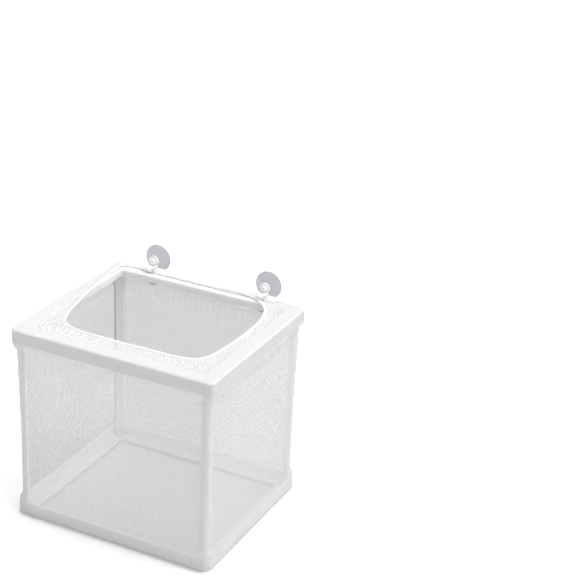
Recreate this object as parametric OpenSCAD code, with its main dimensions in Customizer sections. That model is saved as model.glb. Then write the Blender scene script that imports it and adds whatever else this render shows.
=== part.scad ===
// Net breeding box for small fish: a plug-together plastic frame with a sewn
// net bag drawn over it, hung inside a tank from two suction cups.
// Origin: centre of the underside of the net floor. +Z up, +Y towards the glass.

/* [Frame] */
// Outside width over the net, left to right (mm)
frame_w = 160; // [140:1:200]
// Outside depth over the net, front to back (mm)
frame_d = 140; // [120:1:180]
// Height of the top rim above the surface it stands on (mm)
frame_h = 148; // [110:1:180]
// Plan radius of the top rim's corners over the net (mm)
rim_r = 4.5; // [4.3:0.1:6]
// Plan radius of the bottom ring's corners, taken at the rim's outside (mm)
corner_r = 8; // [7.5:0.1:9]

/* [Rings] */
// Total width of the top rim in plan (mm)
rim_w = 11.2; // [11:0.1:13]
// Depth of the rim's outer skirt, net included (mm)
skirt_h = 11.1; // [8.5:0.1:12]
// Depth of the rim's inner skirt below its top (mm)
inner_skirt_h = 6.3; // [5:0.1:8]
// Height of the bottom ring's outer wall (mm)
base_h = 10.9; // [9.5:0.1:13]
// Radius of the fillet between the bottom ring's wall and its flange (mm)
base_fillet = 3; // [1.5:0.1:3.5]
// Thickness of the bottom ring's flange (mm)
flange_t = 2.4; // [1.8:0.1:3]
// How far the bottom ring sits inside the top rim, each side (mm)
base_inset = 1.2; // [1:0.1:1.4]
// Wall thickness of the mouldings (mm)
wall = 1.6; // [1.2:0.1:1.7]

/* [Corner posts] */
// Leg width of the angle-section posts (mm)
post_leg = 5.9; // [5:0.1:5.9]
// Thickness of the post legs (mm)
post_t = 2; // [1.5:0.1:2.2]

/* [Net bag] */
// Thickness of the knitted net (mm)
net_t = 0.5; // [0.4:0.05:0.55]
// Width of the elastic hem (mm)
hem_w = 2.2; // [2:0.1:2.5]
// Height of the net bunched up along the rear rim (mm)
bunch_h = 2.5; // [1.6:0.1:2.5]

/* [Suction cups] */
// Diameter of a suction cup (mm)
cup_d = 21; // [18:0.5:24]
// Height of the cup centres above the base (mm)
cup_over_rim = 6.5; // [6.5:0.1:7.5]
// Left cup's place along the rear rim (mm)
left_cup_x = -48.5; // [-55:0.5:-40]
// Right cup's place along the rear rim (mm)
right_cup_x = 45; // [40:0.5:55]

/* [Hidden] */
$fn = 64;

hw = frame_w / 2;
hd = frame_d / 2;
top_z = frame_h;              // top of the net over the rim
rim_z = top_z - net_t;        // top of the rim moulding
skirt_z = top_z - skirt_h;    // lower edge of the outer skirt
base_o = base_inset + net_t - 0.2;  // outside face of the bottom ring, inset
post_o = 4;                   // outer faces of the posts, inset
post_bot = net_t + 0.8;
post_top = rim_z - wall;
in_t = 1.2;                   // inner skirt and lip thickness
in_o = rim_w - in_t;
base_in_o = 12.2;             // inner edge of the bottom ring's flange, inset
cup_z = top_z + cup_over_rim;
clip_t = 1.1;
clip_w = 6.4;
clip_gap = 0.15;
eye_t = 1.4;

// ---------- shared shapes ----------

// rounded rectangle in plan, inset by o from the outside of the rim
module plan(o, r = -1) {
  w = frame_w - 2 * o;
  d = frame_d - 2 * o;
  q = r < 0 ? max(rim_r - o, 1) : r;
  square([w - 2 * q, d], center = true);
  square([w, d - 2 * q], center = true);
  for (sx = [-1, 1], sy = [-1, 1])
    translate([sx * (w / 2 - q), sy * (d / 2 - q)]) circle(q);
}

module plan_slab(o, z0, z1, r = -1) {
  translate([0, 0, z0]) linear_extrude(z1 - z0) plan(o, r);
}

module plan_ring(o1, o2, z0, z1, r1 = -1, r2 = -1) {
  translate([0, 0, z0]) linear_extrude(z1 - z0)
    difference() { plan(o1, r1); plan(o2, r2); }
}

// a profile (x = inset from the outside, y = height) swept right round, with
// its corner arcs centred oc in from both sides
module swept(oc) {
  for (k = [0 : 3]) {
    len = (k % 2 == 0 ? frame_w : frame_d) - 2 * oc;
    dist = k % 2 == 0 ? hd : hw;
    rotate([0, 0, 90 * k]) translate([-len / 2, -dist, 0])
      rotate([90, 0, 90]) linear_extrude(len) children();
  }
  for (sx = [-1, 1], sy = [-1, 1])
    translate([sx * (hw - oc), sy * (hd - oc), 0])
      rotate([0, 0, sx > 0 ? (sy > 0 ? 0 : -90) : (sy > 0 ? 90 : 180)])
        rotate_extrude(angle = 90) translate([oc, 0]) mirror([1, 0]) children();
}

// one side of the bag: a straight run and half of each corner
module side_of(k, oc = rim_r) {
  len = (k % 2 == 0 ? frame_w : frame_d) - 2 * oc;
  dist = k % 2 == 0 ? hd : hw;
  rotate([0, 0, 90 * k]) {
    translate([-len / 2, -dist, 0]) rotate([90, 0, 90]) linear_extrude(len) children();
    translate([len / 2, -dist + oc, 0]) rotate([0, 0, -90])
      rotate_extrude(angle = 45) translate([oc, 0]) mirror([1, 0]) children();
    mirror([1, 0, 0]) translate([len / 2, -dist + oc, 0]) rotate([0, 0, -90])
      rotate_extrude(angle = 45) translate([oc, 0]) mirror([1, 0]) children();
  }
}

// ---------- frame ----------

module corner_at(sx, sy) {
  translate([sx * hw, sy * hd, 0]) mirror([sx > 0 ? 1 : 0, 0, 0])
    mirror([0, sy > 0 ? 1 : 0, 0]) children();
}

// angle section of a post, drawn for the front left corner
module post_section(grow = 0) {
  a = post_o - grow;
  b = post_o + post_leg + grow;
  t = post_t + 2 * grow;
  ro = corner_r - post_o + grow;
  union() {
    difference() {
      union() {
        translate([a + ro, a]) square([b - a - ro, t]);
        translate([a, a + ro]) square([t, b - a - ro]);
        difference() {
          translate([a + ro, a + ro]) circle(ro);
          translate([a + ro, a + ro]) circle(ro - t);
          translate([a + ro, a - 1]) square([ro + 1, 2 * ro + 2]);
          translate([a - 1, a + ro]) square([2 * ro + 2, ro + 1]);
        }
      }
    }
  }
}

// boss in a corner of a ring, round a post's end
module post_boss(rc, o_out, o_in, z0, z1) {
  translate([0, 0, z0]) linear_extrude(z1 - z0)
    intersection() {
      translate([o_out, o_out]) square(o_in - o_out);
      union() {
        translate([rc, rc]) circle(rc - o_out + 0.001);
        translate([rc, 0]) square([20, 20]);
        translate([0, rc]) square([20, 20]);
      }
    }
}
module post_socket(rc, o_out, o_in, z0, z1) {
  difference() {
    post_boss(rc, o_out, o_in, z0, z1);
    translate([0, 0, z0 - 1]) linear_extrude(z1 - z0 + 2) post_section(0.04);
  }
}

module top_rim() color("white") {
  oo = net_t;
  swept(rim_r) {
    union() {
      // skirt, with a rounded top edge and a small bead along its foot
      translate([oo, skirt_z + net_t + 0.4]) square([wall, rim_z - skirt_z - net_t - 1.4]);
      translate([oo + wall / 2, skirt_z + net_t + 0.4]) circle(wall / 2, $fn = 32);
      translate([oo + 1, rim_z - wall]) square([2.6, wall]);
      translate([oo + 1, rim_z - 1]) circle(1, $fn = 32);
      translate([oo, rim_z - wall - 0.2]) square([1, wall - 0.8]);
      translate([oo + wall - 0.1, rim_z - wall - 1]) square([0.6, 1.1]);
    }
  }
  plan_ring(3, rim_w - 1, rim_z - wall, rim_z, rim_r - 3, 3.8);
  swept(14) {
    union() {
      translate([rim_w - 2.2, rim_z - wall]) square([1.2, wall]);
      translate([rim_w - 1, rim_z - 1]) circle(1, $fn = 32);
      translate([in_o, top_z - inner_skirt_h + in_t / 2])
        square([in_t, inner_skirt_h - net_t - 1 - in_t / 2]);
      translate([in_o + in_t / 2, top_z - inner_skirt_h + in_t / 2])
        circle(in_t / 2, $fn = 32);
    }
  }
  for (sx = [-1, 1], sy = [-1, 1]) corner_at(sx, sy)
    post_socket(rim_r, oo + wall - 0.1, in_o + 0.1, post_top - 6, post_top);
}

module bottom_ring() color("white") {
  oo = base_o;
  f = base_fillet;
  zf = net_t + flange_t;
  top_r = 1.2;                // rounded bead along the wall's top
  difference() {
    union() {
      swept(corner_r) {
        union() {
          translate([oo, net_t + 0.8]) square([wall, base_h - net_t - 0.8 - top_r]);
          translate([oo + top_r, base_h - top_r]) circle(top_r, $fn = 32);
          translate([oo + 0.8, net_t + 0.8]) circle(0.8, $fn = 32);
          translate([oo + 0.8, net_t]) square([3, flange_t]);
          translate([oo, net_t + 0.8]) square([1, flange_t - 0.8]);
          difference() {
            translate([oo + wall - 0.1, zf - 0.1]) square(f + 0.1);
            translate([oo + wall + f, zf + f]) circle(f);
          }
        }
      }
      plan_ring(4, base_in_o - 0.9, net_t, zf, 4, 4);
      swept(14) {
        union() {
          translate([base_in_o - 1.6, net_t]) square([0.7, flange_t]);
          translate([base_in_o - 1.2, net_t]) square([1.2, flange_t - 0.9]);
          translate([base_in_o - 0.9, zf - 0.9]) circle(0.9, $fn = 32);
        }
      }
      for (sx = [-1, 1], sy = [-1, 1]) corner_at(sx, sy)
        post_boss(corner_r, oo + wall - 0.1, post_o + post_leg + 0.9, zf - 0.1, zf + 1.4);
    }
    for (sx = [-1, 1], sy = [-1, 1]) corner_at(sx, sy)
      translate([0, 0, post_bot]) linear_extrude(20) post_section(0.04);
  }
}

module post(sx, sy) {
  corner_at(sx, sy) difference() {
    translate([0, 0, post_bot]) linear_extrude(post_top - post_bot) post_section();
    // lead-in chamfers at both ends
    for (z = [post_bot, post_top]) for (m = [0, 1])
      mirror([m, -m, 0]) translate([post_o + post_leg, -1, z])
        rotate([-90, 0, 0]) rotate([0, 0, 45])
          translate([-0.7, -0.7, 0]) cube([1.4, 1.4, 20]);
  }
}
module front_left_post() color("whitesmoke") post(-1, -1);
module front_right_post() color("whitesmoke") post(1, -1);
module rear_right_post() color("whitesmoke") post(1, 1);
module rear_left_post() color("whitesmoke") post(-1, 1);

// ---------- net bag ----------

function ease(t) = t <= 0 ? 0 : t >= 1 ? 1 : t * t * (3 - 2 * t);
net_base = base_o - net_t - 0.02;   // inset of the net over the bottom ring
net_mid = post_o - net_t - 0.1;     // inset of the net between the rings
// inset of the bag's outside face at height z
function net_out(z, tuck) =
  z < base_h ? net_base :
  z < base_h + 6.5 ? net_base + (net_mid - net_base) * ease((z - base_h) / 6.5) :
  z < skirt_z - 7.5 ? net_mid :
  z < skirt_z - 0.4 ? (tuck
    ? net_mid - (net_mid - 2.6) * ease((z - skirt_z + 7.5) / 7.1)
    : net_mid * (1 - ease((z - skirt_z + 7.5) / 7.5))) : 0;
net_zs = concat([net_t, base_h],
  [for (i = [1 : 5]) base_h + 6.5 * i / 5],
  [for (i = [0 : 5]) skirt_z - 7.5 + 7.0 * i / 5]);
module net_profile(tuck = false) {
  polygon(concat(
    [for (z = net_zs) [net_out(z, tuck), z]],
    [[0, skirt_z - (tuck ? 0.3 : 0.1)], [0, top_z - net_t]],
    [[net_t - 0.02, top_z - net_t]],
    tuck ? [[net_t - 0.02, skirt_z + 0.08], [3.0, skirt_z + 0.08]] :
           [[net_t - 0.02, skirt_z + 0.2]],
    [for (i = [len(net_zs) - 1 : -1 : 0])
      [net_out(net_zs[i], tuck) + net_t, net_zs[i]]]));
}
module net_front() color([0.93, 0.94, 0.95, 0.6]) side_of(0) net_profile();
module net_right() color([0.93, 0.94, 0.95, 0.6]) side_of(1) net_profile();
module net_rear() color([0.93, 0.94, 0.95, 0.6]) side_of(2) net_profile(true);
module net_left() color([0.93, 0.94, 0.95, 0.6]) side_of(3) net_profile();

module net_floor() color([0.9, 0.91, 0.92, 0.7])
  plan_slab(net_base, 0, net_t);

// rounded polygon through the corners [x, y, radius], taken anticlockwise
function unit(v) = v / norm(v);
function arc_pts(a, b, c, n) = let (
    p = [b[0], b[1]], u = unit([a[0], a[1]] - p), v = unit([c[0], c[1]] - p),
    half = acos(u * v) / 2, d = b[2] / tan(half),
    q = p + unit(u + v) * (b[2] / sin(half)),
    s = p + u * d - q, e = p + v * d - q,
    a0 = atan2(s[1], s[0]), a1 = atan2(e[1], e[0]),
    da = a1 - a0 < -180 ? a1 - a0 + 360 : a1 - a0 > 180 ? a1 - a0 - 360 : a1 - a0)
  [for (i = [0 : n]) q + b[2] * [cos(a0 + da * i / n), sin(a0 + da * i / n)]];
function rounded(c, grow, n = 9) = [for (i = [0 : len(c) - 1])
  let (m = len(c), a = c[(i + m - 1) % m], b = c[i], d = c[(i + 1) % m])
  for (p = arc_pts(shift(a, c, (i + m - 1) % m, grow), shift(b, c, i, grow),
                   shift(d, c, (i + 1) % m, grow), n)) p];
// corner i of c moved out so that both its sides shift by grow
function shift(b, c, i, grow) = let (m = len(c), a = c[(i + m - 1) % m], d = c[(i + 1) % m],
    p = [b[0], b[1]], u = unit([a[0], a[1]] - p), v = unit([d[0], d[1]] - p),
    half = acos(u * v) / 2)
  concat(p - unit(u + v) * (grow / sin(half)), [b[2] + grow]);

// corners of the opening, inside the hem, as offsets from the rim
mouth = [
  [-hw + 6.5, hd - 4.2, 5],
  [-hw + 21, -hd + 21.3, 21],
  [hw - 17.3, -hd + 21.3, 14],
  [hw - 17, hd - 4.2, 36]];

module net_collar() color([0.95, 0.96, 0.97, 0.75])
  translate([0, 0, top_z - net_t]) linear_extrude(net_t)
    difference() { plan(0); polygon(rounded(mouth, hem_w / 2)); }

module elastic_hem() color("white") {
  translate([0, 0, top_z]) difference() {
    linear_extrude(0.9) polygon(rounded(mouth, hem_w));
    translate([0, 0, -1]) linear_extrude(3) polygon(rounded(mouth, 0));
    difference() {
      translate([0, 0, 0.2]) linear_extrude(0.52) polygon(rounded(mouth, hem_w / 2 + 0.3));
      translate([0, 0, -1]) linear_extrude(3) polygon(rounded(mouth, hem_w / 2 - 0.3));
    }
  }
  // slack net gathered into a roll behind the hem, along the rear rim
  r = bunch_h / 2;
  translate([0, hd - 0.1 - r, top_z]) {
    translate([-60, 0, r]) rotate([0, 90, 0]) cylinder(h = 120, r = r);
    translate([-60, -r, 0]) cube([120, 2 * r, r]);
    for (sx = [-1, 1]) {
      translate([60 * sx, 0, r]) sphere(r);
      translate([60 * sx, 0, 0]) cylinder(h = r, r = r);
    }
  }
}

module elastic_cord() color("gainsboro")
  translate([0, 0, top_z + 0.22]) linear_extrude(0.48) difference() {
    polygon(rounded(mouth, hem_w / 2 + 0.27));
    polygon(rounded(mouth, hem_w / 2 - 0.27));
  }

// the loose end of the sewing thread: from its knot by the hem, over the rim's
// inner edge and down inside the rear wall
tail_r = 0.3;
knot_at = [-42.5, hd - 4.75, top_z + 0.02];
tail_route = [
  [-42.5, hd - 5.15, top_z - 0.18], [-42.3, hd - 6.3, top_z - 0.18],
  [-42.0, hd - 7.6, top_z - 0.18], [-41.7, hd - 8.9, top_z - 0.16],
  [-41.5, hd - 10.2, top_z - 0.14], [-41.4, hd - 10.88, top_z - 0.32],
  [-41.3, hd - 11.38, top_z - 0.82], [-41.2, hd - 11.56, top_z - 1.5],
  [-41.0, hd - 11.6, top_z - 3.2], [-41.0, hd - 11.6, top_z - 5.2],
  [-41.2, hd - 11.6, top_z - 7.4], [-40.9, hd - 11.6, top_z - 9.6],
  [-40.2, hd - 11.4, top_z - 12.0], [-39.6, hd - 11.3, top_z - 14.4],
  [-39.4, hd - 11.2, top_z - 16.8], [-38.9, hd - 11.2, top_z - 19.2],
  [-37.8, hd - 11.1, top_z - 21.6], [-36.5, hd - 11.1, top_z - 24.0],
  [-35.3, hd - 11.2, top_z - 26.4]];

function cross3(a, b) = [a[1]*b[2]-a[2]*b[1], a[2]*b[0]-a[0]*b[2], a[0]*b[1]-a[1]*b[0]];
module tube(pts, r, sides = 8) {
  n = len(pts);
  tang = [for (i = [0 : n - 1]) unit(pts[min(i + 1, n - 1)] - pts[max(i - 1, 0)])];
  side = [for (i = [0 : n - 1]) unit(cross3(tang[i], cross3([1, 0, 0], tang[i])))];
  verts = [for (i = [0 : n - 1]) for (k = [0 : sides - 1])
    let (u = side[i], v = cross3(tang[i], side[i]), a = 360 * k / sides)
    pts[i] + r * (cos(a) * u + sin(a) * v)];
  faces = concat([[for (k = [0 : sides - 1]) k]],
    [for (i = [0 : n - 2]) for (k = [0 : sides - 1]) let (a = i * sides, b = (k + 1) % sides)
      [a + k, a + sides + k, a + sides + b, a + b]],
    [[for (k = [sides - 1 : -1 : 0]) (n - 1) * sides + k]]);
  polyhedron(points = verts, faces = faces, convexity = 6);
}

module elastic_knot() color("white") translate(knot_at) difference() {
  sphere(0.5, $fn = 24);
  translate([-2, -4.4, -2]) cube([4, 4, 4]);
}

module thread_tail() color("white") tube(tail_route, tail_r);

// overlocked seams of the bag
module corner_seam() color("white")
  translate([-hw, hd - 8, 0]) rotate([90, 0, 0]) linear_extrude(1.8)
    polygon(concat(
      [for (z = concat([2.2], [for (q = net_zs) if (q > 3) q])) [net_out(z, false) - 0.42 * ease((hw * 2 - z) / 3), z]],
      [for (i = [len(net_zs) - 1 : -1 : 1]) [net_out(net_zs[i], false) - 0.02, net_zs[i]]],
      [[net_out(2.2, false) - 0.02, 2.2]]));

module floor_seam() color("white")
  swept(rim_r) translate([net_base - 0.37, 0.9]) circle(0.34, $fn = 16);

// ---------- hanging parts ----------

module hanger(x) {
  y0 = hd + clip_gap;
  zt = top_z + 2.75;          // the tongue arches over the bunched net
  tt = 0.85;
  ye = hd - 5.5;
  translate([x, 0, 0]) {
    difference() {
      union() {
        translate([-clip_w / 2, y0, skirt_z - 1.7]) cube([clip_w, clip_t, zt + tt - skirt_z + 1.7]);
        translate([-clip_w / 2, ye, zt]) cube([clip_w, y0 + clip_t - ye, tt]);
        translate([0, ye, zt]) cylinder(h = tt, r = clip_w / 2);
        // rounded end turned down over the hem
        translate([0, ye, top_z + 1.06]) difference() {
          cylinder(h = zt - top_z - 0.86, r = clip_w / 2);
          translate([0, 0, -1]) cylinder(h = 9, r = clip_w / 2 - 1);
          translate([-5, -1.4, -1]) cube([10, 10, 9]);
        }
        translate([-clip_w / 2, hd - 2.1, skirt_z - 1.7]) cube([clip_w, 2.1 + clip_gap + clip_t, 1.05]);
        translate([-clip_w / 2 + 0.7, y0, zt + 0.2]) cube([clip_w - 1.4, eye_t, cup_z - zt - 0.2]);
        translate([0, y0, cup_z]) rotate([-90, 0, 0]) cylinder(h = eye_t, r = 4.1);
      }
      translate([0, y0 - 1, cup_z]) rotate([-90, 0, 0]) cylinder(h = eye_t + 2, r = 1.66);
    }
  }
}
module left_hanger() color([0.85, 0.88, 1, 0.5]) hanger(left_cup_x);
module right_hanger() color([0.85, 0.88, 1, 0.5]) hanger(right_cup_x);

module suction_cup(x) {
  y0 = hd + clip_gap;
  y1 = y0 + eye_t;
  R = cup_d / 2;
  translate([x, 0, cup_z]) rotate([-90, 0, 0]) rotate_extrude() polygon([
    [0, y0 - 2.5], [1.3, y0 - 2.4], [2.2, y0 - 2.0], [2.75, y0 - 1.3], [2.75, y0 - 0.7],
    [2.3, y0 - 0.1], [1.6, y0 - 0.08], [1.6, y1 + 0.1], [2.5, y1 + 0.1], [3.0, y1 + 0.9],
    [R * 0.48, y1 + 1.9], [R * 0.74, y1 + 2.9], [R * 0.93, y1 + 4.2], [R, y1 + 5.4],
    [R, y1 + 5.7], [R - 1.0, y1 + 5.7], [R * 0.84, y1 + 4.9], [R * 0.66, y1 + 4.0],
    [R * 0.38, y1 + 3.2], [0, y1 + 2.9]]);
}
module left_suction_cup() color([0.62, 0.63, 0.67, 0.6]) suction_cup(left_cup_x);
module right_suction_cup() color([0.62, 0.63, 0.67, 0.6]) suction_cup(right_cup_x);

top_rim();
bottom_ring();
front_left_post();
front_right_post();
rear_right_post();
rear_left_post();
net_front();
net_right();
net_rear();
net_left();
net_floor();
net_collar();
elastic_hem();
elastic_cord();
elastic_knot();
thread_tail();
corner_seam();
floor_seam();
left_hanger();
right_hanger();
left_suction_cup();
right_suction_cup();
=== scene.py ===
import math
import random
import bpy
import bmesh
import numpy as np
from mathutils import Vector, Matrix, noise


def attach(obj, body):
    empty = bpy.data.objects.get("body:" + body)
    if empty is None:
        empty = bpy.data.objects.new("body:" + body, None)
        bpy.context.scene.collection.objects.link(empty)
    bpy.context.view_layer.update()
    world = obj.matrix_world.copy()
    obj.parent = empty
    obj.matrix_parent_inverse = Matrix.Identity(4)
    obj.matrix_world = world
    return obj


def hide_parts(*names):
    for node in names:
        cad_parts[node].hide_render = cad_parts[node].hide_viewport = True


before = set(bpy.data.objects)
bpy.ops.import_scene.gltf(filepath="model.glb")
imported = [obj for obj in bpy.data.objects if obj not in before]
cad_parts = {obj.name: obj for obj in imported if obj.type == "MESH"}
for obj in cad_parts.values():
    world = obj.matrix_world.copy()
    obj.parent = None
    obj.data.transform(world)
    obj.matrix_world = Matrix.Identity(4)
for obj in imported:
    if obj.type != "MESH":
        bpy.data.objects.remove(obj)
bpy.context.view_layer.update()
scene = bpy.context.scene
MM = 0.001

# sizes shared with the frame, in mm
HW, HD, TOP = 80.0, 70.0, 148.0
RC = 8.0                    # corner radius of the bag round the bottom ring
RC_TOP = 4.5                # and over the rim
SKIRT_Z = 136.9
BASE_H = 10.9
M_BASE, M_MID = 1.23, 3.65  # mid-surface of the bag: over the bottom ring, between the rings
RIM_Z = 147.5
LCX, RCX, CUP_Z = -48.5, 45.0, 154.5


# ---------------------------------------------------------------- camera, light, floor

def make_camera():
    az, el, roll = math.radians(25.222642), math.radians(23.957072), math.radians(2.826628)
    back = Vector((math.sin(az) * math.cos(el), -math.cos(az) * math.cos(el), math.sin(el)))
    right = Vector((0, 0, 1)).cross(back).normalized()
    up = back.cross(right)
    r2 = right * math.cos(roll) + up * math.sin(roll)
    u2 = -right * math.sin(roll) + up * math.cos(roll)
    data = bpy.data.cameras.new("camera")
    data.sensor_fit = "HORIZONTAL"
    data.sensor_width = 36.0
    data.lens = 1559.264 * 36.0 / 575.0
    data.clip_start, data.clip_end = 0.02, 60.0
    cam = bpy.data.objects.new("camera", data)
    scene.collection.objects.link(cam)
    m = Matrix.Identity(4)
    for i in range(3):
        m[i][0], m[i][1], m[i][2] = r2[i], u2[i], back[i]
    m[0][3], m[1][3], m[2][3] = 0.501113, -0.858753, 0.615753
    cam.matrix_world = m
    scene.camera = cam


def make_light():
    world = bpy.data.worlds.new("studio")
    scene.world = world
    world.use_nodes = True
    bg = world.node_tree.nodes["Background"]
    bg.inputs["Color"].default_value = (1.0, 1.0, 1.0, 1.0)
    bg.inputs["Strength"].default_value = 0.43

    def sun(name, towards, strength, angle, colour=(1, 1, 1)):
        d = bpy.data.lights.new(name, "SUN")
        d.energy, d.angle, d.color = strength, math.radians(angle), colour
        o = bpy.data.objects.new(name, d)
        scene.collection.objects.link(o)
        o.rotation_mode = "QUATERNION"
        o.rotation_quaternion = Vector(towards).to_track_quat("Z", "Y")
        o.location = Vector(towards) * 2
    sun("key_light", (0.74, 0.27, 0.76), 1.90, 70)
    sun("top_light", (-0.10, 0.02, 1.0), 1.70, 100)
    scene.view_settings.view_transform = "Standard"


def make_floor():
    mesh = bpy.data.meshes.new("floor")
    bm = bmesh.new()
    bmesh.ops.create_grid(bm, x_segments=24, y_segments=24, size=6.0)
    bm.to_mesh(mesh)
    bm.free()
    o = bpy.data.objects.new("floor", mesh)
    o.location = (0, 0, -0.0004)
    scene.collection.objects.link(o)
    mat = bpy.data.materials.new("floor_paper")
    mat.use_nodes = True
    b = mat.node_tree.nodes["Principled BSDF"]
    b.inputs["Base Color"].default_value = (0.98, 0.98, 0.98, 1)
    b.inputs["Roughness"].default_value = 0.85
    b.inputs["Specular IOR Level"].default_value = 0.1
    mesh.materials.append(mat)


# ---------------------------------------------------------------- materials

class Nodes:
    """Small helper for building a node tree."""

    def __init__(self, name):
        self.mat = bpy.data.materials.new(name)
        self.mat.use_nodes = True
        self.t = self.mat.node_tree
        self.bsdf = self.t.nodes["Principled BSDF"]
        self.out = self.t.nodes["Material Output"]

    def new(self, kind, **props):
        n = self.t.nodes.new(kind)
        for k, v in props.items():
            setattr(n, k, v)
        return n

    def link(self, a, b):
        self.t.links.new(a, b)

    def math(self, op, a, b=None, c=None, clamp=False):
        n = self.new("ShaderNodeMath", operation=op, use_clamp=clamp)
        for i, v in enumerate((a, b, c)):
            if v is None:
                continue
            if hasattr(v, "default_value"):
                self.link(v, n.inputs[i])
            else:
                n.inputs[i].default_value = v
        return n.outputs[0]

    def set(self, **values):
        for k, v in values.items():
            self.bsdf.inputs[k.replace("_", " ")].default_value = v

    def noise(self, scale, detail=3.0, rough=0.5, coords=None, dims="3D"):
        n = self.new("ShaderNodeTexNoise", noise_dimensions=dims)
        n.inputs["Scale"].default_value = scale
        n.inputs["Detail"].default_value = detail
        n.inputs["Roughness"].default_value = rough
        if coords is not None:
            self.link(coords, n.inputs["Vector"])
        return n.outputs["Fac"]

    def ramp(self, fac, stops):
        n = self.new("ShaderNodeValToRGB")
        cr = n.color_ramp
        while len(cr.elements) < len(stops):
            cr.elements.new(0.5)
        for e, (p, c) in zip(cr.elements, stops):
            e.position = p
            e.color = (*c, 1.0)
        self.link(fac, n.inputs["Fac"])
        return n.outputs["Color"]

    def range(self, v, a, b, lo, hi, kind="LINEAR"):
        n = self.new("ShaderNodeMapRange", interpolation_type=kind)
        self.link(v, n.inputs["Value"])
        for k, x in zip(("From Min", "From Max", "To Min", "To Max"), (a, b, lo, hi)):
            n.inputs[k].default_value = x
        return n.outputs["Result"]

    def bump(self, height, strength, distance, after=None):
        n = self.new("ShaderNodeBump")
        n.inputs["Strength"].default_value = strength
        n.inputs["Distance"].default_value = distance
        self.link(height, n.inputs["Height"])
        if after is not None:
            self.link(after, n.inputs["Normal"])
        return n.outputs["Normal"]


def plastic(name, lo, hi, rough=(0.34, 0.5), glow=0.8):
    """Satin injection-moulded plastic: faint clouding, flow marks and a fine grain."""
    m = Nodes(name)
    co = m.new("ShaderNodeTexCoord").outputs["Object"]
    cloud = m.noise(38.0, 4.0, 0.55, co)
    m.link(m.ramp(cloud, [(0.3, lo), (0.7, hi)]), m.bsdf.inputs["Base Color"])
    stretch = m.new("ShaderNodeMapping")
    stretch.inputs["Scale"].default_value = (1.0, 1.0, 5.0)
    m.link(co, stretch.inputs["Vector"])
    flow = m.noise(90.0, 5.0, 0.6, stretch.outputs["Vector"])
    m.link(m.range(flow, 0.25, 0.75, rough[0], rough[1]), m.bsdf.inputs["Roughness"])
    grain = m.noise(2400.0, 2.0, 0.5, co)
    n1 = m.bump(flow, 0.12, 0.0004)
    m.link(m.bump(grain, 0.10, 0.00006, n1), m.bsdf.inputs["Normal"])
    m.set(IOR=1.49)
    m.bsdf.inputs["Specular IOR Level"].default_value = 0.4
    m.bsdf.inputs["Subsurface Weight"].default_value = glow
    m.bsdf.inputs["Subsurface Radius"].default_value = (1.0, 0.95, 0.9)
    m.bsdf.inputs["Subsurface Scale"].default_value = 0.007
    return m.mat


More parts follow.
